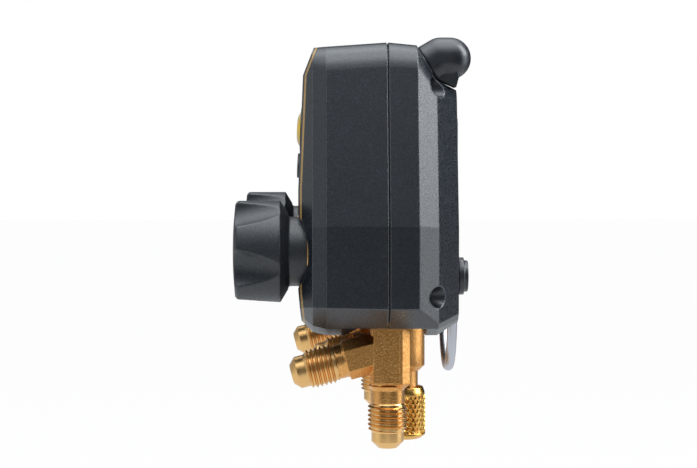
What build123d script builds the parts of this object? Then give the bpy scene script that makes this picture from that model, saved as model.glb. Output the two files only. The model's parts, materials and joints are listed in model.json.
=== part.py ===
from build123d import *
from math import atan, atan2, cos, degrees, hypot, radians, sin
import os

os.makedirs("parts", exist_ok=True)

# Pocket-size digital refrigerant manifold gauge, in millimetres.
# Working frame: right is +X, the face with the knobs looks towards -Y, up is +Z.
# Y = 0 is the joint between the two shells and Z = 0 the height of the valve axes.
# At the end every node is shifted so that the origin is the middle of the whole gauge.

# ---- clearances and fits
running_gap = 0.08        # radial gap of shafts that turn or slide in their bores
seat_gap = 0.3            # gap between neighbours that only lie next to each other
thread_gap = 0.05         # radial gap left where one thread is screwed into another
push_gap = 0.1            # gap round a piece that is pushed into its seat by hand
screw_clearance = 0.2     # radial gap of a hole that a screw passes through
overcut = 1.0             # length of a cutter beyond the face that it cuts

# ---- housing outline, seen from the front (right half, the left is its mirror image)
housing_width = 120.0
housing_top = 58.5
housing_base = -23.6
taper_start = 7.7         # height at which the sides begin to lean inwards
taper_angle = 15.0
bevel_start = -15.0       # height at which the lower corner bevel leaves the side
shoulder_inset = 8.0      # from the side in to the corner of lower bevel and shallow shoulder
shoulder_z = -21.0
base_inset = 15.0         # from the side in to the corner of shoulder and flat base
top_corner_radius = 9.5
wall = 2.6
face_wall = 2.2           # wall of the front shell under its panel
boss_sink = 0.8           # how far the roots of the inner bosses stay from the panel
seam_width = 0.5

# ---- housing depth: stations from the front face to the rear face
front_depth = 25.0
front_bevel = 3.95        # from the front face back to the edge of its bevel
front_side_start = 7.8    # from the front face back to where the side is full width
rear_bevel_start = 8.2
rear_bevel_depth = 13.8
rear_depth = 20.0

# ---- front face: accent trim under a thin front panel
panel_thickness = 0.5
trim_thickness = 0.5
face_low_z = -10.5        # below this the face leans back towards the base
face_high_z = 17.3        # above this the face leans back towards the top
face_low_lean = 0.096
face_high_lean = 0.041
brow_z = 49.2             # foot of the steep facet under the top edge
brow_slope = 0.397        # depth lost per millimetre of height on that facet

# ---- base opening for the brass manifold
opening_front = 8.5
opening_rear = 10.5
opening_roof = -20.9
opening_ramp = 5.4
opening_throat = 3.0
tail_opening_half = 8.0
tail_opening_rear = 13.4

# ---- valves and knobs
valve_inset = 16.0        # from the side of the housing in to a valve's axis
pocket_radius = 11.6
pocket_depth = 6.5        # from the front face back to the floor of a knob's pocket
pocket_floor_wall = 2.0
pocket_cup_wall = 1.8
collar_width = 0.5
collar_recess = 2.5       # from the front face back to the edge of a pocket's collar
knob_reach = 17.6         # from the front face out to the rim of a knob
knob_crown = 0.4
knob_radius = 14.2
knob_edge = 0.8
knob_rim_drop = 0.1
knob_grip = 12.6          # lengths from the knob's rim: to the chamfer, the neck and the end
knob_neck = 14.8
knob_length = 20.6
knob_neck_radius = 10.5
hub_radius = 9.7
hub_bore_radius = 8.0
hub_bore_depth = 4.8
knob_lobes = 5
scoop_radius = 7.0
scoop_depth = 3.7
scoop_length = 12.3
scoop_first_angle = 17.5
disc_radius = 8.0
disc_thickness = 1.2
disc_edge = 0.25
spindle_radius = 3.0
spindle_seat = 6.6        # from the knob's rim back to the end of the spindle
knob_screw_head_radius = 3.2
knob_screw_head = 1.9
knob_screw_radius = 1.5
knob_screw_length = 6.0
knob_screw_hole = 5.0
bonnet_radius = 6.4
bonnet_entry = 2.0        # how far the bonnet reaches into the knob's hub
bonnet_flange_radius = 8.4
bonnet_flange = 1.5
bonnet_thread_end = 8.0
piston_radius = 4.2
piston_length = 5.0
piston_edge = 0.8
seat_y = -1.0
seat_radius = 2.0
seat_depth = 5.0

# ---- brass manifold
bar_front = 9.0
bar_rear = 9.0
bar_top = 10.0
bar_bottom = -13.0
bar_chamfer = 2.0
valve_boss_radius = 10.2
valve_boss_chamfer = 1.0
glass_boss_radius = 9.0
glass_boss_height = 3.0
column_width = 10.6
column_depth = 11.0
column_offset_y = 0.65
column_chamfer = 2.2
column_end = -38.1
column_foot = 1.2
column_pad_width = 7.3
column_pad_offset_y = -0.45
column_pad_height = 0.8
tail_y = 6.3
tail_radius = 6.5
tail_end = -38.6
tail_chamfer = 1.6
tail_root = 4.0
passage_radius = 2.25
passage_top = -4.5
cross_passage = 4.0       # from the valve seats back to the passage between the valves

# ---- 1/4 inch SAE flare ends: 7/16-20 UNF thread, 45 degree cone
flare_thread_radius = 5.555
flare_nose_radius = 4.5
flare_face_radius = 2.7
port_neck_radius = 4.45
port_neck_length = 4.8
port_thread_length = 7.5
port_nose_length = 3.0
port_root = 2.0
stub_neck_radius = 4.85
stub_neck_length = 3.0
stub_thread_length = 8.3
stub_nose_length = 2.75
stub_root = 1.0
stub_bore = 12.0
stub_angle = 15.0
stub_axis_z = -27.3       # height at which a parking axis crosses its column
tail_stub_drop = 0.9
stub_reach = 27.85        # from the column's middle to the stub's end face
arm_width = 11.0
arm_corner = 2.6

# ---- brass cap on the centre port
tail_neck_radius = 4.45
tail_thread_start = -46.4
tail_nose_length = 1.0
cap_radius = 6.8
cap_height = 15.6
cap_cone = 1.5
cap_roof = 1.4
cap_dish = 0.4
cap_rim = 1.0
cap_edge = 0.3
cap_edge_rise = 0.7
cap_band = 1.2
cap_lip = 0.4
cap_seal_thickness = 1.1

# ---- sight glass
glass_radius = 6.6
glass_thickness = 3.0
glass_ring_radius = 8.6
glass_ring_proud = 1.0
glass_seal_width = 0.9
glass_face_depth = 1.2
glass_ring_edge = 0.6
glass_lip = 1.2

# ---- electronics
board_gap = 1.7           # between the board and the upper screw posts
board_low = 15.0
board_high = 50.0
board_standoff = 7.0      # from the manifold's bar forward to the board
board_thickness = 1.6
board_screw_side = 5.5
board_screw_inset = 5.0
board_screw_radius = 1.2
board_screw_head_radius = 2.4
board_screw_head = 1.5
board_screw_length = 3.5
board_screw_hole = 4.0
board_screw_recess = 0.8
board_boss_radius = 2.8
switch_half = 3.0
radio_x = 8.0
radio_width = 14.0
radio_z = 30.0
radio_height = 16.0
radio_thickness = 2.0
chip_x = -16.0
chip_z = 26.0
chip_size = 10.0
chip_thickness = 1.4
sensor_x = 30.0
sensor_y = -5.0
sensor_radius = 6.0
sensor_length = 13.5
sensor_hex = 5.0
sensor_hex_margin = 0.8

# ---- badge and key on the front
badge_z = 34.3
badge_width = 25.0
badge_height = 11.2
badge_proud = 1.45
badge_rim = 0.7
badge_rim_proud = 0.45
badge_shoulder = 0.9
badge_shoulder_rise = 0.55  # share of the dome's height
badge_crown_inset = 3.2
key_z = 23.4
key_width = 17.0
key_height = 7.4
key_proud = 0.95
key_thickness = 1.9
key_edge = 0.3
key_travel = 0.6
key_stem_radius = 2.4
key_gap = 0.3
switch_height = 2.2

# ---- batteries: two AAA cells side by side behind a sliding cover
cell_diameter = 10.5
cell_length = 44.5
cell_edge = 0.4
cell_button = 0.8
cell_button_radius = 1.9
cell_count = 2
cell_contact_gap = 1.5
cell_clearance = 0.3
contact_sheet = 0.4
contact_inset = 0.6
contact_margin = 0.5
contact_button_radius = 1.6
tray_overlap = 0.5
tray_wall = 1.3
tray_floor = 2.3          # thickness of the shell under the recess of the cover
tray_base_z = 13.2
field_depth = 3.8
field_half_width = 25.4
cover_thickness = 1.7
cover_groove = 1.0        # how far the cover's edges reach into the walls of the recess
cover_edge = 0.4
cover_grip_count = 5
cover_grip_start = 3.0
cover_grip_pitch = 1.6
cover_grip_radius = 0.5
cover_grip_half = 7.0

# ---- folding hook
wire_radius = 1.5
hook_half_width = 20.0
hook_recess = 0.2         # from the rear face in to the wire's middle
hook_pivot_recess = 2.8
hook_pivot_z = 42.0
hook_crank_z = 37.5
hook_crown_z = -37.2
hook_stub = 7.0
hook_bend = 2.4
crank_bend = 5.0
hook_crown_slack = 0.02   # keeps the two arcs of the crown apart
hook_pocket_half = 3.0
hook_pocket_depth = 6.8
hook_boss_margin = 2.4
hook_end_gap = 0.4
hook_end_wall = 1.5

# ---- probe sockets and their rubber caps
probe_inset = 27.5        # from the side of the housing in to a socket
socket_radius = 4.4
socket_collar = 3.4
socket_body = 9.0
socket_flange_radius = 5.4
socket_flange = 0.8
socket_well_radius = 3.5
socket_well_depth = 4.5
socket_wall = 1.6
socket_station = 0.59     # share of the bevel's depth at which the socket's axis meets it
bulb_radius = 5.97
bulb_height = 4.48        # from the bevel to the bend of the cap
bulb_reach = 2.7          # from the bend to the middle of the round end
bulb_bore_depth = 3.9
tab_half_width = 4.2
tab_setback = 0.6
tab_lean = 1.1
tab_thickness = 3.1

# ---- screws and feet
case_screw_low_z = -12.1
case_screw_inset = 17.5   # from the side of the housing in to an upper screw
case_screw_high_z = 45.9
case_screw_well_radius = 3.0
case_screw_well_floor = 9.0
case_screw_head_radius = 2.7
case_screw_head = 2.0
case_screw_radius = 1.5
case_screw_hole = 12.0
case_screw_end = 11.0
case_screw_recess = 1.1
case_boss_radius = 4.3
block_screw_x = 20.0
block_screw_high_z = 5.5
block_screw_low_z = -8.5
block_screw_radius = 1.6
block_screw_head_radius = 2.9
block_screw_head = 2.0
block_screw_hole = 7.0
block_screw_end = 6.0
block_screw_recess = 1.0
screw_recess_share = 0.55  # hexagon recess as a share of the head's radius
block_boss_radius = 3.4
foot_inset = 22.5         # from the side of the housing in to a foot
foot_z = -7.4
foot_radius = 5.3
foot_step = 1.8
foot_tip_radius = 4.45
foot_proud = 2.9
foot_plug_radius = 2.0
foot_plug_depth = 1.6
gasket_inset = 1.3
gasket_width = 1.6

# ---- values that follow from the ones above
half_width = housing_width / 2
half_seam = seam_width / 2
shoulder_x = half_width - shoulder_inset
base_x = half_width - base_inset
front_bevel_depth = front_depth - front_bevel
front_bevel_start = front_depth - front_side_start
valve_x = half_width - valve_inset
pocket_floor = front_depth - pocket_depth
collar_front = front_depth - collar_recess
knob_front = front_depth + knob_reach
spindle_front = knob_front - spindle_seat
bonnet_front = knob_front - knob_length + bonnet_entry
boss_front = pocket_floor - pocket_floor_wall
bar_half_length = valve_x + column_width / 2
case_screw_low_x = bar_half_length + seat_gap + case_boss_radius
case_screw_high_x = half_width - case_screw_inset
board_y = -bar_front - board_standoff
board_half_width = case_screw_high_x - case_boss_radius - board_gap
board_screw_x = board_half_width - board_screw_side
hook_plane_y = rear_depth - hook_recess
hook_pivot_y = rear_depth - hook_pivot_recess
hook_pocket_floor = rear_depth - hook_pocket_depth
probe_x = half_width - probe_inset
tab_end = rear_depth - tab_setback
foot_x = half_width - foot_inset
flare_cone = flare_nose_radius - flare_face_radius
tail_face = tail_thread_start - port_thread_length - tail_nose_length - flare_cone
cap_bottom = tail_face - cap_seal_thickness - cap_roof
skin_depth = panel_thickness + trim_thickness
field_y = rear_depth - field_depth
stub_tilt = radians(stub_angle)
socket_slope_run = rear_bevel_depth - rear_bevel_start
far = 200.0               # larger than any part, for cutting solids


# ================= small helpers
def along_y(radius, y_from, y_to, x=0.0, z=0.0):
    """Round solid along Y between two depths."""
    low = min(y_from, y_to)
    solid = extrude(Circle(radius), abs(y_to - y_from))
    return Pos(x, low, z) * Rot(-90, 0, 0) * solid


def along_x(radius, x_from, x_to, y=0.0, z=0.0):
    """Round solid along X between two places."""
    low = min(x_from, x_to)
    solid = extrude(Circle(radius), abs(x_to - x_from))
    return Pos(low, y, z) * Rot(0, 90, 0) * solid


def block(x_from, x_to, y_from, y_to, z_from, z_to):
    """Box given by its limits along the three axes."""
    size = Box(x_to - x_from, y_to - y_from, z_to - z_from)
    return Pos((x_from + x_to) / 2, (y_from + y_to) / 2, (z_from + z_to) / 2) * size


def turned(points):
    """Solid of revolution about Z from a half profile of (radius, height) points."""
    profile = make_face(Plane.XZ * Polyline(*points, close=True))
    return revolve(profile, Axis.Z)


def profile_x(points, x_from, x_to):
    """Prism along X from a closed profile of (y, z) points."""
    face = make_face(Plane.YZ * Polyline(*points, close=True))
    return Pos(x_from, 0, 0) * extrude(face, x_to - x_from, dir=(1, 0, 0))


def both_sides(solid):
    """A solid and its mirror image on the left."""
    return [solid, mirror(solid, Plane.YZ)]


def union(solids):
    """All solids joined into one."""
    joined = solids[0]
    for solid in solids[1:]:
        joined = joined + solid
    return joined


# ================= housing form
def crossing(first, second):
    """Point where two lines, each a unit normal and a distance, cross."""
    (ax, az, ad), (bx, bz, bd) = first, second
    det = ax * bz - az * bx
    return ((ad * bz - az * bd) / det, (ax * bd - ad * bx) / det)


def edge_line(x0, z0, x1, z1, inset):
    """Line through two points of the outline, moved inwards."""
    length = hypot(x1 - x0, z1 - z0)
    nx, nz = (z1 - z0) / length, -(x1 - x0) / length
    return (nx, nz, nx * x0 + nz * z0 - inset)


def section(y, side, top, bevel, shoulder, base, corner):
    """Outline of the housing at one depth, each of its edges moved in by its own inset."""
    lean = radians(taper_angle)
    reach = half_width * cos(lean) + taper_start * sin(lean)
    lines = [
        (0.0, -1.0, -housing_base - base),
        edge_line(base_x, housing_base, shoulder_x, shoulder_z, shoulder),
        edge_line(shoulder_x, shoulder_z, half_width, bevel_start, bevel),
        (1.0, 0.0, half_width - side),
        (cos(lean), sin(lean), reach - side),
        (0.0, 1.0, housing_top - top),
    ]
    right = [crossing(lines[i], lines[i + 1]) for i in range(len(lines) - 1)]
    left = [(-x, z) for x, z in reversed(right)]
    face = make_face(Polyline(*right, *left, close=True))
    crown = face.vertices().sort_by(Axis.Y)[-2:]
    return Plane.XZ.offset(-y) * fillet(crown, corner)


# depth, then insets of side, top, bevel, shoulder, base, then the radius of the top corners
front_stations = [
    (front_depth, 9.8, 6.0, 5.6, 5.0, 5.2, 3.0),
    (front_bevel_depth, 2.2, 1.5, 1.6, 1.3, 1.0, 7.5),
    (front_bevel_start, 0.0, 1.2, 0.3, 0.2, 0.2, 9.3),
    (half_seam, 0.0, 0.0, 0.0, 0.0, 0.0, top_corner_radius),
]
rear_stations = [
    (half_seam, 0.0, 0.0, 0.0, 0.0, 0.0, top_corner_radius),
    (rear_bevel_start, 0.0, 0.8, 0.0, 0.0, 0.1, 9.0),
    (rear_bevel_depth, 6.0, 10.4, 0.0, 0.0, 0.2, 6.5),
    (rear_depth, 16.0, 13.1, 7.6, 5.2, 3.3, 5.0),
]


def shell_form(stations, sign, shrink):
    """Ruled body through the stations of one shell, smaller all round by shrink."""
    faces = []
    for depth, side, top, bevel, shoulder, base, corner in stations:
        y = sign * max(depth - shrink, 0.0) if depth > half_seam else sign * depth
        insets = [inset + shrink for inset in (side, top, bevel, shoulder, base)]
        faces.append(section(y, *insets, max(corner - shrink, 1.0)))
    return loft(faces, ruled=True)


def face_profile(shift):
    """Side profile of the front face, moved back by shift, as (y, z) from base to top."""
    low_end = housing_base - overcut
    high_end = housing_top + overcut
    brow_y = -front_depth + (brow_z - face_high_z) * face_high_lean + shift
    return [
        (-front_depth + (face_low_z - low_end) * face_low_lean + shift, low_end),
        (-front_depth + shift, face_low_z),
        (-front_depth + shift, face_high_z),
        (brow_y, brow_z),
        (brow_y + (high_end - brow_z) * brow_slope, high_end),
    ]


def behind_face(shift):
    """Everything behind the front face once it is moved back by shift."""
    points = face_profile(shift)
    closing = [(far, points[-1][1]), (far, points[0][1])]
    return profile_x(points + closing, -far, far)


front_form = shell_form(front_stations, -1, 0.0) & behind_face(0.0)
rear_form = shell_form(rear_stations, 1, 0.0)


def base_opening():
    """Space in the base that the brass manifold comes out through."""
    ramp = [
        (-opening_front - opening_ramp, housing_base - overcut),
        (-opening_front, opening_roof),
        (opening_rear, opening_roof),
        (opening_rear, housing_base - overcut),
    ]
    notch = profile_x(ramp, -shoulder_x, shoulder_x)
    throat_top = opening_roof + opening_throat
    throat = block(-shoulder_x, shoulder_x, -opening_front, opening_rear, opening_roof, throat_top)
    tail = block(-tail_opening_half, tail_opening_half, 0.0, tail_opening_rear,
                 housing_base - overcut, throat_top)
    return notch + throat + tail


# ================= front shell, panel and trim
def knob_pockets(radius, y_to):
    """Round pockets for the two knob hubs."""
    return union(both_sides(along_y(radius, -far, y_to, valve_x)))


def key_oval(extra, y_from, y_to):
    """Oval prism along Y with the key's outline, grown by extra."""
    oval = extrude(Ellipse(key_width / 2 + extra, key_height / 2 + extra), y_to - y_from)
    return Pos(0, y_from, key_z) * Rot(-90, 0, 0) * oval


def key_well():
    """Oval recess that the key sinks into, with the hole for its stem."""
    depth = key_thickness - key_proud + key_travel + seat_gap
    well = key_oval(key_gap, -2 * front_depth, 0) - behind_face(depth)
    return well + along_y(key_stem_radius + key_gap, -front_depth, board_y, 0, key_z)


def make_front_shell():
    shell = front_form & behind_face(skin_depth)
    shell = shell - (shell_form(front_stations, -1, wall) & behind_face(skin_depth + face_wall))
    cups = both_sides(along_y(pocket_radius + pocket_cup_wall, -front_bevel_depth, -boss_front, valve_x))
    boards = [
        along_y(board_boss_radius, -front_depth + skin_depth + boss_sink, board_y, x, z)
        for x in (-board_screw_x, board_screw_x)
        for z in (board_low + board_screw_inset, board_high - board_screw_inset)
    ]
    blocks = [
        along_y(block_boss_radius, -front_depth + skin_depth + boss_sink, -bar_front, x, z)
        for x in (-block_screw_x, block_screw_x)
        for z in (block_screw_low_z, block_screw_high_z)
    ]
    posts = [
        along_y(case_boss_radius, -front_bevel_start, -half_seam, x, z)
        for x, z in case_screw_places()
    ]
    inside = union(cups + boards + blocks + posts) & front_form & behind_face(skin_depth)
    shell = shell + inside
    shell = shell - knob_pockets(pocket_radius, -pocket_floor)
    shell = shell - knob_pockets(bonnet_radius + seat_gap, 0)
    shell = shell - along_y(glass_ring_radius + seat_gap, -far, 0)
    shell = shell - key_well()
    shell = shell - base_opening()
    for x in (-board_screw_x, board_screw_x):
        for z in (board_low + board_screw_inset, board_high - board_screw_inset):
            shell = shell - along_y(board_screw_radius, board_y - board_screw_hole, board_y, x, z)
    for x in (-block_screw_x, block_screw_x):
        for z in (block_screw_low_z, block_screw_high_z):
            shell = shell - along_y(block_screw_radius, -bar_front - block_screw_hole, -bar_front, x, z)
    for x, z in case_screw_places():
        shell = shell - along_y(case_screw_radius, -case_screw_hole, 0, x, z)
    return shell


def make_skin(shift_out, shift_in):
    """Layer of the front face between two depths, with its openings."""
    layer = (front_form & behind_face(shift_out)) - behind_face(shift_in)
    layer = layer - knob_pockets(pocket_radius, 0)
    layer = layer - along_y(glass_ring_radius + seat_gap, -far, 0)
    return layer - key_oval(key_gap, -2 * front_depth, 0)


def make_front_panel():
    return make_skin(0.0, panel_thickness)


def make_trim():
    return make_skin(panel_thickness, skin_depth)


def make_pocket_collars():
    outer = pocket_radius - push_gap
    ring = along_y(outer, -collar_front, -pocket_floor, valve_x)
    ring = ring - along_y(outer - collar_width, -far, 0, valve_x)
    return both_sides(ring)


# ================= badge, key and sight glass
def on_face(z):
    """Place on the front face at a height, with local Z pointing out of the face."""
    y = -front_depth + max(z - face_high_z, 0.0) * face_high_lean
    return Pos(0, y, z) * Rot(90 - degrees(atan(face_high_lean)), 0, 0)


def badge_outline(extra, height):
    """The badge's oval, grown by extra, at a height over the face."""
    return Pos(0, 0, height) * Ellipse(badge_width / 2 + extra, badge_height / 2 + extra)


def make_badge():
    """Plain domed badge, filled solid."""
    dome = loft([
        badge_outline(0, 0),
        badge_outline(-badge_shoulder, badge_proud * badge_shoulder_rise),
        badge_outline(-badge_crown_inset, badge_proud),
    ])
    return on_face(badge_z) * dome


def make_badge_rim():
    """Thin dark ring that frames the badge."""
    ring = badge_outline(badge_rim, 0) - badge_outline(push_gap, 0)
    return on_face(badge_z) * extrude(ring, badge_rim_proud)


def make_key():
    """On/off key: an oval pad in the face with a stem down to its switch."""
    pad = key_oval(0, -2 * front_depth, 0) & behind_face(-key_proud)
    pad = pad - behind_face(key_thickness - key_proud)
    pad = fillet(pad.faces().sort_by(Axis.Y)[0].edges(), key_edge)
    stem_end = board_y - switch_height - key_travel - running_gap
    return pad + along_y(key_stem_radius, -front_depth + key_edge, stem_end, 0, key_z)


def make_glass_ring():
    """Screwed bezel that holds the sight glass in the manifold."""
    front = -front_depth - glass_ring_proud
    ring = along_y(glass_ring_radius, front, -bar_front - glass_boss_height)
    ring = chamfer(ring.edges().group_by(Axis.Y)[0], glass_ring_edge)
    ring = ring - along_y(glass_radius - glass_lip, -far, far)
    return ring - along_y(glass_radius + running_gap, front + glass_face_depth, far)


def make_glass():
    front = -front_depth - glass_ring_proud + glass_face_depth
    return along_y(glass_radius, front, front + glass_thickness)


def make_glass_tube():
    """Sleeve that presses the glass forward against its bezel."""
    front = -front_depth - glass_ring_proud + glass_face_depth + glass_thickness
    tube = along_y(glass_radius, front, -bar_front - glass_boss_height)
    return tube - along_y(glass_radius - glass_seal_width, -far, far)


# ================= valves: bonnet, piston, spindle, knob
def make_bonnet():
    solid = along_y(bonnet_radius - thread_gap, -bonnet_front, -bonnet_thread_end, valve_x)
    flange = along_y(bonnet_flange_radius, -pocket_floor - bonnet_flange, -pocket_floor, valve_x)
    solid = solid + chamfer(flange.edges().group_by(Axis.Y)[0], bonnet_flange / 3)
    return solid - along_y(spindle_radius + running_gap, -far, 0, valve_x)


def make_spindle():
    end = seat_y - piston_length
    solid = along_y(spindle_radius, -spindle_front, end, valve_x)
    return solid - along_y(knob_screw_radius + thread_gap, -far, -spindle_front + knob_screw_hole, valve_x)


def make_piston():
    end = seat_y - piston_length
    solid = along_y(piston_radius, end, seat_y, valve_x)
    return chamfer(solid.edges().group_by(Axis.Y)[-1], piston_edge)


def make_scoop(angle):
    """Finger hollow of the knob: a round cutter that runs out towards the hub."""
    chord = knob_radius - scoop_depth + scoop_radius
    run_out = knob_radius + scoop_radius
    lean = degrees(atan((run_out - chord) / scoop_length))
    cutter = Pos(0, 0, -far / 2) * extrude(Circle(scoop_radius), far)
    cutter = Pos(chord, 0, 0) * Rot(0, lean, 0) * cutter
    return Rot(0, 0, angle) * cutter


def make_knob():
    """Five-lobed grip on its hub, built on Z and then laid along the valve axis."""
    body = turned([
        (0, -knob_crown),
        (disc_radius, -knob_crown),
        (knob_radius - knob_edge, knob_rim_drop),
        (knob_radius, knob_edge),
        (knob_radius, knob_grip),
        (knob_neck_radius, knob_neck),
        (hub_radius, knob_neck),
        (hub_radius, knob_length),
        (0, knob_length),
    ])
    for lobe in range(knob_lobes):
        body = body - make_scoop(scoop_first_angle + lobe * 360 / knob_lobes)
    recess = disc_thickness + push_gap - knob_crown
    head_seat = recess + knob_screw_head + push_gap
    spindle_end = spindle_seat - thread_gap
    body = body - turned([
        (0, -overcut),
        (disc_radius + push_gap, -overcut),
        (disc_radius + push_gap, recess),
        (knob_screw_head_radius + seat_gap, recess),
        (knob_screw_head_radius + seat_gap, head_seat),
        (knob_screw_radius + push_gap, head_seat),
        (knob_screw_radius + push_gap, spindle_end),
        (spindle_radius + thread_gap, spindle_end),
        (spindle_radius + thread_gap, knob_length - hub_bore_depth),
        (hub_bore_radius, knob_length - hub_bore_depth),
        (hub_bore_radius, knob_length + overcut),
        (0, knob_length + overcut),
    ])
    return Pos(valve_x, -knob_front, 0) * Rot(-90, 0, 0) * body


def make_disc():
    front = -knob_front - knob_crown
    solid = along_y(disc_radius, front, front + disc_thickness, valve_x)
    return chamfer(solid.edges().group_by(Axis.Y)[0], disc_edge)


def make_knob_screw():
    head_front = -knob_front + disc_thickness - knob_crown + 2 * push_gap
    head_back = head_front + knob_screw_head
    head = along_y(knob_screw_head_radius, head_front, head_back, valve_x)
    return head + along_y(knob_screw_radius, head_back, head_back + knob_screw_length, valve_x)


# ================= brass manifold
def flare_profile(neck_radius, neck, thread, nose, root):
    """Half profile of a flare end, from root (inside the casting) out to its face."""
    thread_start = neck
    nose_start = neck + thread
    cone_start = nose_start + nose
    face = cone_start + flare_cone
    return face, [
        (0, -root),
        (neck_radius, -root),
        (neck_radius, thread_start),
        (flare_thread_radius, thread_start),
        (flare_thread_radius, nose_start),
        (flare_nose_radius, nose_start),
        (flare_nose_radius, cone_start),
        (flare_face_radius, face),
        (0, face),
    ]


def make_port():
    """Hose port that points down from its column."""
    face, profile = flare_profile(
        port_neck_radius, port_neck_length, port_thread_length, port_nose_length, port_root)
    return Pos(valve_x, 0, column_end) * Rot(180, 0, 0) * turned(profile)


def stub_place(x, y, drop):
    """Place of a parking stub's face, local Z pointing out along its axis."""
    reach_y = y - stub_reach * cos(stub_tilt)
    reach_z = stub_axis_z - drop - stub_reach * sin(stub_tilt)
    return Pos(x, reach_y, reach_z) * Rot(90 + stub_angle, 0, 0)


def make_stub(x, y, drop):
    """Parking stub: threaded flare end on a rough octagonal arm."""
    face, profile = flare_profile(
        stub_neck_radius, stub_neck_length, stub_thread_length, stub_nose_length, stub_root)
    end = turned(profile)
    arm = extrude(chamfer(Rectangle(arm_width, arm_width).vertices(), arm_corner), stub_reach - face)
    solid = end + Pos(0, 0, -(stub_reach - face)) * arm
    return stub_place(x, y, drop) * Pos(0, 0, -face) * solid


def make_column():
    """Cast column over a hose port, with its raised pads."""
    top = bar_bottom + bar_chamfer
    sketch = chamfer(Rectangle(column_width, column_depth).vertices(), column_chamfer)
    solid = extrude(sketch, top - column_end)
    solid = chamfer(solid.edges().group_by(Axis.Z)[0], column_foot)
    solid = Pos(0, column_offset_y, column_end) * solid
    half = column_width / 2 + column_pad_height
    low, high = column_pad_offset_y - column_pad_width / 2, column_pad_offset_y + column_pad_width / 2
    pad = block(-half, half, low, high, column_end + 2 * column_pad_height, opening_roof)
    return Pos(valve_x, 0, 0) * (solid + pad)


def make_manifold():
    bar = block(-bar_half_length, bar_half_length, -bar_front, bar_rear, bar_bottom, bar_top)
    bar = chamfer(bar.edges().filter_by(Axis.X), bar_chamfer)
    boss = along_y(valve_boss_radius, -boss_front, 0, valve_x)
    boss = chamfer(boss.edges().group_by(Axis.Y)[0], valve_boss_chamfer)
    glass_boss = along_y(glass_boss_radius, -bar_front - glass_boss_height, 0)
    tail = Pos(0, tail_y, tail_end) * Cylinder(
        tail_radius, bar_bottom - tail_end + tail_root, align=(Align.CENTER, Align.CENTER, Align.MIN))
    tail = chamfer(tail.edges().group_by(Axis.Z)[0], tail_chamfer)
    tail_port = Pos(0, tail_y, tail_end) * Rot(180, 0, 0) * turned(tail_profile())
    solid = bar + glass_boss + tail + tail_port + make_stub(0, tail_y, tail_stub_drop)
    for part in (boss, make_column(), make_port(), make_stub(valve_x, 0, 0)):
        for half in both_sides(part):
            solid = solid + half
    return solid - manifold_drillings()


def tail_profile():
    """Half profile of the centre port that the cap covers, from the column's end down."""
    thread_start = tail_end - tail_thread_start
    nose_start = thread_start + port_thread_length
    cone_start = nose_start + tail_nose_length
    return [
        (0, -port_root),
        (tail_neck_radius, -port_root),
        (tail_neck_radius, thread_start),
        (flare_thread_radius, thread_start),
        (flare_thread_radius, nose_start),
        (flare_nose_radius, nose_start),
        (flare_nose_radius, cone_start),
        (flare_face_radius, cone_start + flare_cone),
        (0, cone_start + flare_cone),
    ]


def manifold_drillings():
    """Valve bores, gas passages, sight glass chamber, sensor and screw holes."""
    bore = along_y(bonnet_radius, -far, -bonnet_thread_end, valve_x)
    bore = bore + along_y(piston_radius + running_gap, -far, seat_y, valve_x)
    bore = bore + along_y(seat_radius, -far, seat_y + seat_depth, valve_x)
    drop = Pos(valve_x, 0, -far) * Cylinder(
        passage_radius, far + passage_top, align=(Align.CENTER, Align.CENTER, Align.MIN))
    bore_in_stub = Pos(0, 0, -stub_bore) * Cylinder(
        passage_radius, stub_bore + overcut, align=(Align.CENTER, Align.CENTER, Align.MIN))
    cuts = []
    for cut in (bore, drop, stub_place(valve_x, 0, 0) * bore_in_stub):
        cuts.extend(both_sides(cut))
    cuts.append(stub_place(0, tail_y, tail_stub_drop) * bore_in_stub)
    cuts.append(along_x(passage_radius, -valve_x, valve_x, seat_y + cross_passage))
    tail_drop = Pos(0, tail_y, -far) * Cylinder(
        passage_radius, far, align=(Align.CENTER, Align.CENTER, Align.MIN))
    cuts.append(tail_drop)
    cuts.append(along_y(glass_radius - glass_seal_width, -far, seat_y + cross_passage))
    for x in (-block_screw_x, block_screw_x):
        for z in (block_screw_low_z, block_screw_high_z):
            cuts.append(along_y(block_screw_radius + screw_clearance, -far, far, x, z))
    return union(cuts)


def make_port_cap():
    """Knurled blanking cap that screws on the centre port."""
    bore_radius = flare_thread_radius + thread_gap
    body = turned([
        (0, cap_dish),
        (cap_radius - cap_rim, 0),
        (cap_radius - cap_edge, cap_edge_rise),
        (cap_radius, cap_band),
        (cap_radius, cap_height - cap_cone),
        (bore_radius + cap_lip, cap_height),
        (0, cap_height),
    ])
    bore = turned([
        (0, cap_roof),
        (bore_radius, cap_roof),
        (bore_radius, cap_height + overcut),
        (0, cap_height + overcut),
    ])
    return Pos(0, tail_y, cap_bottom) * (body - bore)


def make_cap_seal():
    """Rubber disc in the cap that the port's cone closes on."""
    disc = Cylinder(flare_thread_radius - thread_gap, cap_seal_thickness,
                    align=(Align.CENTER, Align.CENTER, Align.MIN))
    return Pos(0, tail_y, cap_bottom + cap_roof) * disc


# ================= rear shell
def case_screw_places():
    return [
        (sign * x, z)
        for sign in (1, -1)
        for x, z in (
            (case_screw_low_x, case_screw_low_z),
            (case_screw_high_x, case_screw_high_z),
        )
    ]


def tray_limits(extra):
    """Inside of the battery tray as x, y and z limits, grown by extra."""
    half = cell_length / 2 + cell_contact_gap + extra
    back = field_y + tray_overlap
    front = field_y - tray_floor - cell_diameter - 2 * cell_clearance - extra
    top = tray_base_z + cell_count * (cell_diameter + cell_clearance) + cell_clearance + extra
    return (-half, half, front, back, tray_base_z - extra, top)


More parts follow.
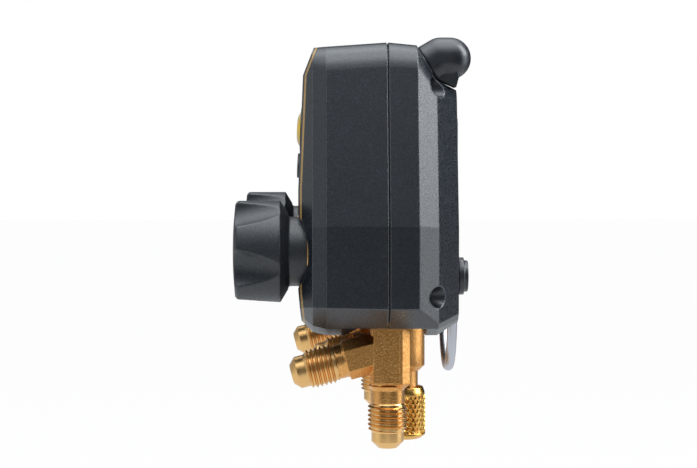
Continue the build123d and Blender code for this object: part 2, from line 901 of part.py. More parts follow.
def cover_limits(gap):
    """Battery cover as x, y and z limits, grown by gap."""
    half = field_half_width + cover_groove - running_gap + gap
    limits = tray_limits(tray_wall)
    back = field_y + running_gap
    return (-half, half, back - gap, back + cover_thickness + gap, limits[4] - gap, limits[5] + gap)


def socket_place(x):
    """Place on the bevel at the foot of a probe socket, local Z pointing out of the bevel."""
    drop = top_at_bevel() - top_at_ledge()
    y = rear_bevel_start + socket_station * socket_slope_run
    z = top_at_bevel() - socket_station * drop
    return Pos(x, y, z) * Rot(-degrees(atan2(drop, socket_slope_run)), 0, 0)


def top_at_bevel():
    return housing_top - rear_stations[1][2]


def top_at_ledge():
    return housing_top - rear_stations[2][2]


def make_rear_shell():
    shell = rear_form - shell_form(rear_stations, 1, wall)
    posts = [along_y(case_boss_radius, half_seam, rear_bevel_depth, x, z) for x, z in case_screw_places()]
    tray = block(*tray_limits(tray_wall))
    cover_top = cover_limits(seat_gap)[5]
    wall_reach = field_half_width + cover_groove + tray_wall
    field_wall = block(-wall_reach, wall_reach, field_y - tray_floor, rear_depth,
                       housing_base, cover_top + tray_wall)
    hinge = block(hook_half_width - hook_pocket_half - hook_boss_margin,
                  hook_half_width + hook_stub + hook_end_wall,
                  hook_pocket_floor - hook_boss_margin, rear_depth,
                  cover_top - tray_wall, top_at_bevel())
    sockets = [
        socket_place(x) * Pos(0, 0, -socket_body) * Cylinder(
            socket_radius + socket_wall, socket_body, align=(Align.CENTER, Align.CENTER, Align.MIN))
        for x in (-probe_x, probe_x)
    ]
    shell = shell + (union(posts + [tray, field_wall] + both_sides(hinge) + sockets) & rear_form)
    field = block(-field_half_width, field_half_width, field_y, far, -far, cover_top)
    grooves = block(-field_half_width - cover_groove, field_half_width + cover_groove,
                    field_y, cover_limits(running_gap)[3], -far, cover_top)
    pocket = block(hook_half_width - hook_pocket_half, hook_half_width + hook_pocket_half,
                   hook_pocket_floor, far, cover_top - hook_pocket_half, top_at_ledge() + wire_radius)
    bore = along_x(wire_radius + running_gap, 0, hook_half_width + hook_stub + hook_end_gap,
                   hook_pivot_y, hook_pivot_z)
    bore = bore & block(hook_half_width, far, -far, far, -far, far)
    shell = shell - field - grooves - block(*tray_limits(0))
    for cut in (pocket, bore):
        for side in both_sides(cut):
            shell = shell - side
    for x in (-probe_x, probe_x):
        shell = shell - socket_place(x) * Pos(0, 0, -socket_body - overcut) * Cylinder(
            socket_radius + thread_gap, far, align=(Align.CENTER, Align.CENTER, Align.MIN))
        shell = shell - socket_place(x) * Pos(0, 0, -socket_flange) * Cylinder(
            socket_flange_radius + thread_gap, far, align=(Align.CENTER, Align.CENTER, Align.MIN))
    for x, z in case_screw_places():
        shell = shell - along_y(case_screw_well_radius, case_screw_well_floor, far, x, z)
        shell = shell - along_y(case_screw_radius + screw_clearance, -far, far, x, z)
    for x in (-foot_x, foot_x):
        shell = shell - along_y(foot_plug_radius, rear_depth - foot_plug_depth, far, x, foot_z)
    return shell - base_opening()


def make_gasket():
    """Flat seal between the shells, cut where the manifold passes."""
    outer = extrude(section(0, *[gasket_inset] * 5, top_corner_radius - gasket_inset), seam_width)
    inset = gasket_inset + gasket_width
    inner = extrude(section(0, *[inset] * 5, top_corner_radius - inset), seam_width)
    ring = outer - inner
    ring = Pos(0, half_seam - ring.bounding_box().max.Y, 0) * ring
    ring = ring - base_opening()
    for x, z in case_screw_places():
        ring = ring - along_y(case_screw_radius + seat_gap, -far, far, x, z)
    return ring


def make_battery_cover():
    x0, x1, y0, y1, z0, z1 = cover_limits(0)
    plate = block(x0, x1, y0, y1, z0, z1)
    plate = chamfer(plate.edges().group_by(Axis.Y)[-1], cover_edge)
    for index in range(cover_grip_count):
        z = z0 + cover_grip_start + index * cover_grip_pitch
        groove = along_x(cover_grip_radius, -cover_grip_half, cover_grip_half, y1 + push_gap, z)
        plate = plate - groove
    return plate


def cell_places():
    x0, x1, y0, y1, z0, z1 = tray_limits(0)
    y = y0 + cell_clearance + cell_diameter / 2
    pitch = cell_diameter + cell_clearance
    return [(y, z0 + cell_clearance + cell_diameter / 2 + index * pitch) for index in range(cell_count)]


def make_cells():
    cells = []
    shoulder = cell_length - cell_button
    for index, (y, z) in enumerate(cell_places()):
        body = turned([
            (0, 0),
            (cell_diameter / 2 - cell_edge, 0),
            (cell_diameter / 2, cell_edge),
            (cell_diameter / 2, shoulder - cell_edge),
            (cell_diameter / 2 - cell_edge, shoulder),
            (cell_button_radius, shoulder),
            (cell_button_radius, cell_length),
            (0, cell_length),
        ])
        turn = 90 if index % 2 == 0 else -90
        start = -cell_length / 2 if index % 2 == 0 else cell_length / 2
        cells.append(Pos(start, y, z) * Rot(0, turn, 0) * body)
    return cells


def make_contacts():
    """Sheet-metal contacts at both ends of the tray, with a raised button per cell."""
    x0, x1, y0, y1, z0, z1 = tray_limits(0)
    inner = x1 - contact_sheet
    contacts = []
    for sign in (-1, 1):
        plate = block(inner, x1, y0 + contact_inset, y0 + cell_diameter,
                      z0 + contact_margin, z1 - contact_margin)
        for y, z in cell_places():
            plate = plate + along_x(contact_button_radius, cell_length / 2 + thread_gap, inner, y, z)
        contacts.append(plate if sign > 0 else mirror(plate, Plane.YZ))
    return contacts


# ================= hook
def make_hook():
    """Bent wire bail: pivot stubs, cranks, two legs and a round crown."""
    x = hook_half_width
    right = [
        (x + hook_stub, hook_pivot_y, hook_pivot_z),
        (x, hook_pivot_y, hook_pivot_z),
        (x, hook_plane_y, hook_crank_z),
        (x, hook_plane_y, hook_crown_z),
    ]
    left = [(-px, py, pz) for px, py, pz in reversed(right)]
    crown = x - hook_crown_slack
    radii = [hook_bend, crank_bend, crown, crown, crank_bend, hook_bend]
    path = FilletPolyline(*right, *left, radius=radii)
    start = Plane(origin=right[0], z_dir=(-1, 0, 0))
    return sweep(start * Circle(wire_radius), path=path)


# ================= probe sockets and caps
def make_socket(x):
    solid = turned([
        (0, -socket_body),
        (socket_radius, -socket_body),
        (socket_radius, -socket_flange),
        (socket_flange_radius, -socket_flange),
        (socket_flange_radius, 0),
        (socket_radius, 0),
        (socket_radius, socket_collar),
        (socket_well_radius, socket_collar),
        (socket_well_radius, socket_collar - socket_well_depth),
        (0, socket_collar - socket_well_depth),
    ])
    return socket_place(x) * solid


def above_rear_top(gap):
    """Everything above the bevel and the ledge of the rear shell, a gap away from them."""
    bevel_y, bevel_z = rear_bevel_start, top_at_bevel()
    ledge_y, ledge_z = rear_bevel_depth, top_at_ledge()
    rise = top_at_bevel() - top_at_ledge()
    fall = rear_stations[3][2] - rear_stations[2][2]
    bevel_lift = gap * hypot(rise, socket_slope_run) / socket_slope_run
    ledge_lift = gap * hypot(fall, rear_depth - rear_bevel_depth) / (rear_depth - rear_bevel_depth)
    ledge_slope = fall / (rear_depth - rear_bevel_depth)
    bevel_slope = rise / socket_slope_run
    corner = (bevel_lift - ledge_lift) / (bevel_slope - ledge_slope)
    return profile_x([
        (bevel_y - far / bevel_slope, bevel_z + far + bevel_lift),
        (ledge_y + corner, ledge_z - ledge_slope * corner + ledge_lift),
        (far, ledge_z - ledge_slope * (far - ledge_y) + ledge_lift),
        (far, bevel_z + far + bevel_lift),
    ], -far, far)


def bulb_end(x):
    """Middle of the round end of a probe cap."""
    bend = (socket_place(x) * Pos(0, 0, bulb_height)).position
    return Vector(bend.X, bend.Y + bulb_reach, bend.Z)


def make_probe_cap(x):
    """Soft bent cap over a probe socket, with the wedge tab that pulls it off."""
    end = bulb_end(x)
    bend_y = end.Y - bulb_reach
    cap = socket_place(x) * Cylinder(
        bulb_radius, bulb_height, align=(Align.CENTER, Align.CENTER, Align.MIN))
    cap = cap + Pos(x, bend_y, end.Z) * Sphere(bulb_radius)
    cap = cap + along_y(bulb_radius, bend_y, end.Y, x, end.Z)
    cap = cap + Pos(x, end.Y, end.Z) * Sphere(bulb_radius)
    tab = profile_x([
        (bend_y, end.Z),
        (rear_bevel_depth, top_at_ledge() - tab_thickness),
        (tab_end, top_at_ledge() - tab_thickness),
        (tab_end + tab_lean, top_at_ledge() + tab_lean),
        (end.Y, end.Z),
    ], x - tab_half_width, x + tab_half_width)
    bore = socket_place(x) * Cylinder(
        socket_radius + running_gap, bulb_bore_depth, align=(Align.CENTER, Align.CENTER, Align.MIN))
    return ((cap + tab) & above_rear_top(seat_gap)) - bore


# ================= electronics, screws and feet
def make_board():
    plate = block(-board_half_width, board_half_width, board_y, board_y + board_thickness,
                  board_low, board_high)
    for x in (-board_screw_x, board_screw_x):
        for z in (board_low + board_screw_inset, board_high - board_screw_inset):
            plate = plate - along_y(block_screw_radius, -far, far, x, z)
    back = board_y + board_thickness
    switch = block(-switch_half, switch_half, board_y - switch_height, board_y,
                   key_z - switch_half, key_z + switch_half)
    radio = block(radio_x, radio_x + radio_width, back, back + radio_thickness,
                  radio_z, radio_z + radio_height)
    chip = block(chip_x, chip_x + chip_size, back, back + chip_thickness, chip_z, chip_z + chip_size)
    return [plate, switch, radio, chip]


def make_sensors():
    """Pressure sensor cans screwed into the top of the manifold."""
    can = Cylinder(sensor_radius, sensor_length - sensor_hex,
                   align=(Align.CENTER, Align.CENTER, Align.MIN))
    hexagon = extrude(RegularPolygon(sensor_radius + sensor_hex_margin, 6), sensor_hex)
    solid = Pos(sensor_x, sensor_y, bar_top) * (hexagon + Pos(0, 0, sensor_hex) * can)
    return both_sides(solid)


def screw_along_y(x, z, head_radius, head, radius, seat, tip, recess):
    """Pan-head screw driven from the rear, its head's underside at seat."""
    solid = along_y(head_radius, seat, seat + head, x, z) + along_y(radius, seat, tip, x, z)
    return solid - Pos(x, seat + head, z) * Rot(-90, 0, 0) * Pos(0, 0, -recess) * extrude(
        RegularPolygon(head_radius * screw_recess_share, 6), far)


def make_case_screws():
    return [
        screw_along_y(x, z, case_screw_head_radius, case_screw_head, case_screw_radius - thread_gap,
                      case_screw_well_floor, -case_screw_end, case_screw_recess)
        for x, z in case_screw_places()
    ]


def make_block_screws():
    return [
        screw_along_y(x, z, block_screw_head_radius, block_screw_head,
                      block_screw_radius - thread_gap, bar_rear, -bar_front - block_screw_end,
                      block_screw_recess)
        for x in (-block_screw_x, block_screw_x)
        for z in (block_screw_low_z, block_screw_high_z)
    ]


def make_board_screws():
    seat = board_y + board_thickness
    return [
        screw_along_y(x, z, board_screw_head_radius, board_screw_head, board_screw_radius - thread_gap,
                      seat, board_y - board_screw_length, board_screw_recess)
        for x in (-board_screw_x, board_screw_x)
        for z in (board_low + board_screw_inset, board_high - board_screw_inset)
    ]


def make_feet():
    """Stepped rubber feet pressed into the rear face."""
    solid = turned([
        (0, -foot_plug_depth),
        (foot_plug_radius - thread_gap, -foot_plug_depth),
        (foot_plug_radius - thread_gap, 0),
        (foot_radius, 0),
        (foot_radius, foot_step),
        (foot_tip_radius, foot_step),
        (foot_tip_radius, foot_proud),
        (0, foot_proud),
    ])
    return [Pos(x, rear_depth, foot_z) * Rot(-90, 0, 0) * solid for x in (-foot_x, foot_x)]


# ================= all nodes
def flipped(solid):
    return mirror(solid, Plane.YZ)


nodes = {
    "front_shell": [make_front_shell()],
    "rear_shell": [make_rear_shell()],
    "shell_gasket": [make_gasket()],
    "trim_layer": [make_trim()],
    "front_panel": [make_front_panel()],
    "pocket_collars": make_pocket_collars(),
    "badge_dome": [make_badge()],
    "badge_rim": [make_badge_rim()],
    "power_key": [make_key()],
    "manifold_block": [make_manifold()],
    "sight_glass_ring": [make_glass_ring()],
    "sight_glass": [make_glass()],
    "sight_glass_sleeve": [make_glass_tube()],
    "valve_bonnets": both_sides(make_bonnet()),
    "port_cap": [make_port_cap()],
    "port_cap_seal": [make_cap_seal()],
    "pressure_sensors": make_sensors(),
    "circuit_board": make_board(),
    "battery_cells": make_cells(),
    "battery_contacts": make_contacts(),
    "battery_cover": [make_battery_cover()],
    "hook_bail": [make_hook()],
    "probe_sockets": [make_socket(-probe_x), make_socket(probe_x)],
    "case_screws": make_case_screws(),
    "manifold_screws": make_block_screws(),
    "board_screws": make_board_screws(),
    "rubber_feet": make_feet(),
}
for side, sign in (("high", 1), ("low", -1)):
    for name, maker in (
        ("knob", make_knob),
        ("knob_disc", make_disc),
        ("knob_screw", make_knob_screw),
        ("spindle", make_spindle),
        ("piston", make_piston),
    ):
        solid = maker()
        nodes[f"{side}_side_{name}"] = [solid if sign > 0 else flipped(solid)]
for side, sign in (("right", 1), ("left", -1)):
    nodes[f"probe_cap_{side}"] = [make_probe_cap(sign * probe_x)]

# The origin is the middle of the gauge: from knob crown to probe cap, and from cap to cap.
rear_most = bulb_end(0).Y + bulb_radius
top_most = bulb_end(0).Z + bulb_radius
middle = Pos(0, (knob_front + knob_crown - rear_most) / 2, -(top_most + cap_bottom) / 2)

for name, solids in nodes.items():
    placed = [middle * solid for solid in solids]
    export_step(placed[0] if len(placed) == 1 else Compound(children=placed), f"parts/{name}.step")
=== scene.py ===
import json
from math import atan2, cos, degrees, pi, radians, sin, tan

import bmesh
import bpy
from mathutils import Matrix, Vector


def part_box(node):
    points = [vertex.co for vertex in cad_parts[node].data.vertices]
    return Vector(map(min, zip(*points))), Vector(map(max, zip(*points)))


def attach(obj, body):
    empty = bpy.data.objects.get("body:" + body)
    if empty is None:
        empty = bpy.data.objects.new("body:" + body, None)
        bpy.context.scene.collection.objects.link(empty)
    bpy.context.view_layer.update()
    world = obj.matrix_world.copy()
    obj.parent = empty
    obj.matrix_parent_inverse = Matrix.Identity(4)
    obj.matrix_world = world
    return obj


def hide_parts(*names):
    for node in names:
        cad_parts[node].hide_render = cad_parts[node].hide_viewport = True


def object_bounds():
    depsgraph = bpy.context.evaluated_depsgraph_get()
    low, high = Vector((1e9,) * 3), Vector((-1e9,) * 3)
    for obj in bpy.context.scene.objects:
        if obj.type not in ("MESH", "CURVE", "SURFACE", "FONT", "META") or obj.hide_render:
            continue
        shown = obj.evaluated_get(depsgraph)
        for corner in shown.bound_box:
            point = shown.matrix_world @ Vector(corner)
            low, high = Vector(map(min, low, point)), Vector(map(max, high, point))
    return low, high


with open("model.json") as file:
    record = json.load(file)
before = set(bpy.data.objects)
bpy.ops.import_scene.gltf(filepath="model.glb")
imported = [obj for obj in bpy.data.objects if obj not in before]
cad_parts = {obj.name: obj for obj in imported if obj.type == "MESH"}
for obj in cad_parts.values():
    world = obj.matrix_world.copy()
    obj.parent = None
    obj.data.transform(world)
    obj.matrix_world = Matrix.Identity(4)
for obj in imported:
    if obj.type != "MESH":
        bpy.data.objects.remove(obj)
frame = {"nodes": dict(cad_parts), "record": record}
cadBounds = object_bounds()
record = frame["record"]
cadNodes = frame["nodes"]
mounts = {mount["name"]: mount for mount in record["mounts"]}
nodeBody = {node: body for body, members in record["behaviour"]["bodies"].items() for node in members}
nodeSlot = {part["node"]: part["material_slot"] for part in record["subparts"]}
mm = 0.001
print("frame loaded,", len(cadNodes), "nodes")


# a socket that can be used in sums, for shaders and for geometry nodes
class Wire:
    def __init__(self, graph, socket):
        self.graph = graph
        self.socket = socket

    def combine(self, operation, first, second=None):
        return self.graph.add("ShaderNodeMath", {"operation": operation}, {0: first, 1: second})

    def __add__(self, other):
        return self.combine("ADD", self, other)

    __radd__ = __add__

    def __sub__(self, other):
        return self.combine("SUBTRACT", self, other)

    def __rsub__(self, other):
        return self.combine("SUBTRACT", other, self)

    def __mul__(self, other):
        return self.combine("MULTIPLY", self, other)

    __rmul__ = __mul__

    def __truediv__(self, other):
        return self.combine("DIVIDE", self, other)

    def sine(self):
        return self.combine("SINE", self)

    def cosine(self):
        return self.combine("COSINE", self)

    def floor(self):
        return self.combine("FLOOR", self)

    def least(self, other):
        return self.combine("MINIMUM", self, other)

    def root(self):
        return self.combine("SQRT", self)

    def turnFrom(self, other):
        return self.combine("ARCTAN2", self, other)


class Graph:
    def __init__(self, tree):
        self.tree = tree

    def add(self, kind, settings=None, sockets=None, out=0):
        node = self.tree.nodes.new(kind)
        for name, value in (settings or {}).items():
            if name == "stops":
                self.setStops(node.color_ramp, value)
            else:
                setattr(node, name, value)
        for key, value in (sockets or {}).items():
            if value is None:
                continue
            target = node.inputs[key]
            if isinstance(value, Wire):
                self.tree.links.new(value.socket, target)
            else:
                target.default_value = value
        return Wire(self, node.outputs[out]) if len(node.outputs) else node

    def setStops(self, ramp, stops):
        while len(ramp.elements) < len(stops):
            ramp.elements.new(0.5)
        for element, (place, colour) in zip(ramp.elements, stops):
            element.position = place
            element.color = colour


# materials
# where the painted edge highlight goes: how far a rounded normal turns from the face's own
highlightEdgeMatch = {"full": 0.972, "none": 0.997}  # how far a rounded normal has to turn from the face's own


class Finish(Graph):
    def __init__(self, name, fixed):
        self.material = bpy.data.materials.new(name)
        self.material.use_nodes = True
        Graph.__init__(self, self.material.node_tree)
        self.tree.nodes.clear()
        self.shader = self.tree.nodes.new("ShaderNodeBsdfPrincipled")
        output = self.tree.nodes.new("ShaderNodeOutputMaterial")
        self.tree.links.new(self.shader.outputs[0], output.inputs["Surface"])
        for socket, value in fixed.items():
            self.shader.inputs[socket].default_value = value
        self.place = self.add("ShaderNodeTexCoord", out="Object")

    def feed(self, socket, wire):
        self.tree.links.new(wire.socket, self.shader.inputs[socket])

    def noise(self, size, detail, place=None, rough=0.5):
        settings = {"noise_dimensions": "3D"}
        sockets = {"Vector": place or self.place, "Scale": 1 / size, "Detail": detail, "Roughness": rough}
        return self.add("ShaderNodeTexNoise", settings, sockets)

    def cells(self, size, smooth):
        sockets = {"Vector": self.place, "Scale": 1 / size, "Smoothness": smooth}
        return self.add("ShaderNodeTexVoronoi", {"feature": "SMOOTH_F1"}, sockets)

    def ramp(self, wire, stops):
        return self.add("ShaderNodeValToRGB", {"stops": stops}, {"Fac": wire})

    def remap(self, wire, low, high, newLow, newHigh):
        sockets = {"Value": wire, "From Min": low, "From Max": high, "To Min": newLow, "To Max": newHigh}
        return self.add("ShaderNodeMapRange", None, sockets)

    def highlightEdgeMask(self, radius):
        # 1 along sharp edges, 0 elsewhere; the mask of the painted edge highlight
        rounded = self.add("ShaderNodeBevel", {"samples": 8}, {"Radius": radius})
        facing = self.add("ShaderNodeNewGeometry", out="Normal")
        match = self.add("ShaderNodeVectorMath", {"operation": "DOT_PRODUCT"},
                         {0: rounded, 1: facing}, out="Value")
        return self.remap(match, highlightEdgeMatch["full"], highlightEdgeMatch["none"], 1.0, 0.0)

    def blend(self, factor, first, second):
        return self.add("ShaderNodeMix", {"data_type": "RGBA"}, {0: factor, 6: first, 7: second}, out=2)

    def stretched(self, scale, turn=(0.0, 0.0, 0.0)):
        return self.add("ShaderNodeMapping", None, {"Vector": self.place, "Rotation": turn, "Scale": scale})

    def softEdges(self, radius):
        return self.add("ShaderNodeBevel", {"samples": 6}, {"Radius": radius})

    def bump(self, height, depth, under=None):
        sockets = {"Height": height, "Distance": depth, "Strength": 1.0}
        if under is not None:
            sockets["Normal"] = under
        return self.add("ShaderNodeBump", None, sockets)


def grey(level):
    return (level, level, level, 1.0)


def tone(colour, share=1.0):
    return tuple(channel * share for channel in colour) + (1.0,)


def mouldedFinish(name, look):
    # spark-eroded grain of a moulded housing: fine pale specks and a slightly uneven sheen, with a painted
    # highlight along sharp edges
    finish = Finish(name, {"Specular IOR Level": look["shine"], "Metallic": 0.0})
    grain = finish.noise(look["grain"], 1.0)
    specks = finish.noise(look["grain"] * 1.6, 2.0)
    cloud = finish.noise(look["cloud"], 2.0)
    colour = finish.ramp(specks * 0.8 + cloud * 0.2, [
        (0.35, tone(look["colour"], 0.75)), (0.52, tone(look["colour"])), (0.68, tone(look["colour"], 1.7))])
    # painted highlight: sharp edges get a lighter colour, as if they caught the light
    if look["rim"]:
        colour = finish.blend(finish.highlightEdgeMask(look["rim"]), colour, tone(look["edgeHighlightColour"]))
    finish.feed("Base Color", colour)
    finish.feed("Roughness", finish.remap(grain, 0.3, 0.7, look["rough"] - 0.07, look["rough"] + 0.07))
    rounded = finish.softEdges(look["edge"]) if look["edge"] else None
    finish.feed("Normal", finish.bump(grain, look["depth"], rounded))
    return finish.material


def rubberFinish(name, look):
    finish = Finish(name, {"Specular IOR Level": look["shine"], "Metallic": 0.0})
    haze = finish.noise(look["haze"], 4.0)
    dust = finish.noise(look["grain"], 2.0)
    finish.feed("Base Color", finish.ramp(haze, [
        (0.35, tone(look["colour"], 0.85)), (0.7, tone(look["colour"], 1.15))]))
    finish.feed("Roughness", finish.remap(haze, 0.3, 0.7, look["rough"] - 0.04, look["rough"] + 0.06))
    finish.feed("Normal", finish.bump(dust, look["depth"]))
    return finish.material


def forgedFinish(name, look):
    # hot-forged brass after blasting: an orange-peel skin, with painted shade in its low spots and a painted
    # highlight on its crests
    finish = Finish(name, {"Metallic": 1.0})
    peel = finish.cells(look["peel"], 0.8)
    grit = finish.noise(look["grit"], 5.0, rough=0.6)
    stain = finish.noise(look["stain"], 3.0)
    relief = peel * 0.55 + grit * 0.45
    # painted shade and highlight: the colour is darker where the relief is low and lighter where it is high
    finish.feed("Base Color", finish.ramp(relief * 0.8 + stain * 0.2, [
        (0.25, tone(look["hollow"])), (0.5, tone(look["colour"])), (0.75, tone(look["crest"]))]))
    finish.feed("Roughness", finish.remap(grit, 0.3, 0.7, look["rough"] - 0.07, look["rough"] + 0.07))
    finish.feed("Normal", finish.bump(relief, look["depth"], finish.softEdges(look["edge"])))
    return finish.material


def turnedFinish(name, look, turn=(0.0, 0.0, 0.0), across=(1.0, 1.0, 60.0)):
    # marks of the tool: a noise squeezed along one axis
    finish = Finish(name, {"Metallic": 1.0})
    marks = finish.noise(look["mark"], 3.0, finish.stretched(across, turn))
    stain = finish.noise(look["stain"], 3.0)
    finish.feed("Base Color", finish.ramp(marks * 0.5 + stain * 0.5, [
        (0.3, tone(look["colour"], 0.86)), (0.7, tone(look["colour"], 1.06))]))
    finish.feed("Roughness", finish.remap(marks, 0.3, 0.7, look["rough"] - 0.05, look["rough"] + 0.08))
    finish.feed("Normal", finish.bump(marks, look["depth"]))
    return finish.material


def glossFinish(name, look):
    finish = Finish(name, {"Specular IOR Level": 0.5, "Metallic": 0.0})
    ripple = finish.noise(look["ripple"], 2.0)
    finish.feed("Base Color", finish.ramp(ripple, [
        (0.3, tone(look["colour"], 0.93)), (0.7, tone(look["colour"], 1.05))]))
    finish.feed("Roughness", finish.remap(ripple, 0.3, 0.7, look["rough"], look["rough"] + 0.06))
    finish.feed("Normal", finish.bump(ripple, look["depth"]))
    return finish.material


def glassFinish(name, look):
    finish = Finish(name, {"Specular IOR Level": 0.5, "Transmission Weight": 1.0, "IOR": 1.5})
    smear = finish.noise(look["smear"], 3.0)
    finish.feed("Base Color", finish.ramp(smear, [
        (0.3, tone(look["colour"], 0.95)), (0.7, tone(look["colour"]))]))
    finish.feed("Roughness", finish.remap(smear, 0.4, 0.7, 0.02, 0.06))
    return finish.material


# rim gives the width of a painted highlight along sharp edges, and the last colour is its colour
housingLook = {"colour": (0.0125, 0.0167, 0.0228), "shine": 0.7, "rough": 0.31, "grain": 0.42 * mm,
               "cloud": 9 * mm, "depth": 0.014 * mm, "edge": 0.6 * mm, "rim": 0.34 * mm,
               "edgeHighlightColour": (0.125, 0.137, 0.152)}
panelLook = dict(housingLook, colour=(0.03, 0.034, 0.04), rough=0.33, grain=0.16 * mm,
                 depth=0.01 * mm, edge=0, rim=0)
knobLook = dict(housingLook, colour=(0.019, 0.023, 0.0285), rough=0.42, grain=0.4 * mm, depth=0.03 * mm,
                edge=0.4 * mm)
rubberLook = {"colour": (0.024, 0.028, 0.034), "shine": 0.65, "rough": 0.3, "haze": 4 * mm,
              "grain": 0.2 * mm, "depth": 0.012 * mm}
# forged relief: the darkest colour is painted shade in the low spots, the lightest is a painted highlight on
# the crests
forgedLook = {"colour": (0.75, 0.365, 0.11), "hollow": (0.42, 0.185, 0.045), "crest": (0.92, 0.56, 0.22),
              "peel": 0.44 * mm, "grit": 0.26 * mm, "stain": 7 * mm, "rough": 0.34, "depth": 0.12 * mm,
              "edge": 0.35 * mm}
neckLook = dict(forgedLook, hollow=(0.6, 0.29, 0.085), rough=0.27, depth=0.035 * mm)
turnedLook = {"colour": (0.88, 0.535, 0.21), "mark": 2.5 * mm, "stain": 5 * mm, "rough": 0.2,
              "depth": 0.008 * mm}
steelLook = {"colour": (0.55, 0.56, 0.6), "mark": 3 * mm, "stain": 12 * mm, "rough": 0.33,
             "depth": 0.004 * mm}
# glossy pieces: colour, width and height of the ripple in mm, roughness
glossLooks = {
    "trim_tan": ("tanTrim", (0.5, 0.31, 0.11), 3, 0.004, 0.4),
    "disc_red": ("redDisc", (0.55, 0.02, 0.02), 4, 0.004, 0.2),
    "disc_blue": ("blueDisc", (0.02, 0.11, 0.5), 4, 0.004, 0.2),
    "badge_amber": ("amberDome", (0.95, 0.63, 0.08), 5, 0.003, 0.12),
    "badge_frame": ("darkFrame", (0.02, 0.02, 0.022), 4, 0.003, 0.25),
    "sleeve_plastic": ("paleSleeve", (0.6, 0.6, 0.56), 4, 0.003, 0.4),
    "board_green": ("solderMask", (0.01, 0.11, 0.04), 2, 0.01, 0.3),
    "cell_wrap": ("cellWrap", (0.05, 0.05, 0.055), 6, 0.003, 0.25),
}


def makeFinishes():
    finishes = {
        "housing_plastic": mouldedFinish("mouldedHousing", housingLook),
        "panel_plastic": mouldedFinish("satinPanel", panelLook),
        "knob_plastic": mouldedFinish("mouldedKnob", knobLook),
        "soft_rubber": rubberFinish("softRubber", rubberLook),
        "gasket_rubber": rubberFinish("gasketRubber", dict(rubberLook, colour=(0.012, 0.012, 0.013),
                                                           rough=0.6)),
        "key_grey": rubberFinish("keyRubber", dict(rubberLook, colour=(0.07, 0.075, 0.08), rough=0.5)),
        "brass_cast": forgedFinish("forgedBrass", forgedLook),
        "brass_machined": turnedFinish("turnedBrass", turnedLook),
        "collar_gold": turnedFinish("collarBrass", turnedLook, across=(1.0, 60.0, 1.0)),
        "steel_wire": turnedFinish("drawnWire", steelLook, across=(40.0, 40.0, 1.0)),
        "steel_screw": turnedFinish("zincScrew", dict(steelLook, rough=0.32), across=(1.0, 30.0, 1.0)),
        "steel_can": turnedFinish("sensorSteel", steelLook),
        "socket_nickel": turnedFinish("socketNickel", steelLook),
        "contact_nickel": turnedFinish("contactNickel", steelLook),
        "sight_glass": glassFinish("sightGlass", {"colour": (0.86, 0.93, 0.9), "smear": 4 * mm}),
    }
    for slot, (name, colour, ripple, depth, rough) in glossLooks.items():
        finishes[slot] = glossFinish(name, {"colour": colour, "ripple": ripple * mm, "depth": depth * mm,
                                            "rough": rough})
    # finishes of single pieces, beside those of the slots
    finishes["stub_turned"] = turnedFinish("turnedStub", dict(turnedLook, rough=0.32),
                                           turn=(stubTilt(), 0.0, 0.0), across=(1.0, 60.0, 1.0))
    finishes["neck_smooth"] = forgedFinish("smoothNeck", neckLook)
    finishes["cap_turned"] = turnedFinish("turnedCap", dict(turnedLook, colour=(0.84, 0.47, 0.12),
                                                            rough=0.24))
    return finishes


def stubTilt():
    # how far the leaning stubs are turned about X
    axis = mounts["high_side_parking_stub"]["axis"]
    return atan2(axis[2], -axis[1])


finishes = makeFinishes()
print("materials made:", len(finishes))


# meshes: how close points are merged, and the angles that count as flat and as smooth
merge = {"gap": 0.002 * mm, "fineGap": 0.001 * mm, "flat": radians(0.5), "smooth": radians(35)}


def newPiece(name, shape, finish, smooth=merge["smooth"]):
    mesh = bpy.data.meshes.new(name)
    shape.to_mesh(mesh)
    shape.free()
    return settle(name, mesh, finish, smooth)


def settle(name, mesh, finish, smooth=merge["smooth"]):
    if "custom_normal" in mesh.attributes:
        mesh.attributes.remove(mesh.attributes["custom_normal"])
    mesh.materials.clear()
    mesh.materials.append(finish)
    mesh.shade_smooth()
    mesh.set_sharp_from_angle(angle=smooth)
    piece = bpy.data.objects.new(name, mesh)
    bpy.context.scene.collection.objects.link(piece)
    return piece


def flatten(shape):
    bmesh.ops.dissolve_limit(shape, angle_limit=merge["flat"], verts=shape.verts, edges=shape.edges)


def mergedShape(node):
    shape = bmesh.new()
    shape.from_mesh(cadNodes[node].data)
    bmesh.ops.remove_doubles(shape, verts=shape.verts, dist=merge["gap"])
    flatten(shape)
    return shape


def roundEdges(piece, width, segments, angle):
    edges = piece.modifiers.new("edges", "BEVEL")
    edges.width = width
    edges.segments = segments
    edges.limit_method = "ANGLE"
    edges.angle_limit = angle
    edges.use_clamp_overlap = True
    edges.harden_normals = False


def standFor(piece, node):
    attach(piece, nodeBody[node])
    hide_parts(node)


def lathe(name, profile, sides, place, finish):
    # profile: (radius, height) from pole to pole, along local Z
    shape = bmesh.new()
    rings = []
    for radius, height in profile:
        if radius == 0:
            rings.append([shape.verts.new(place @ Vector((0, 0, height)))])
            continue
        turns = [2 * pi * step / sides for step in range(sides)]
        points = [Vector((radius * cos(t), radius * sin(t), height)) for t in turns]
        rings.append([shape.verts.new(place @ point) for point in points])
    for lower, upper in zip(rings, rings[1:]):
        for step in range(sides):
            after = (step + 1) % sides
            corners = [lower[step % len(lower)], lower[after % len(lower)],
                       upper[after % len(upper)], upper[step % len(upper)]]
            unique = list(dict.fromkeys(corners))
            if len(unique) > 2:
                shape.faces.new(unique)
    bmesh.ops.recalc_face_normals(shape, faces=shape.faces)
    return newPiece(name, shape, finish)


corner = {"share": 0.45, "fold": 0.01, "straight": 0.05, "least": 1e-7}


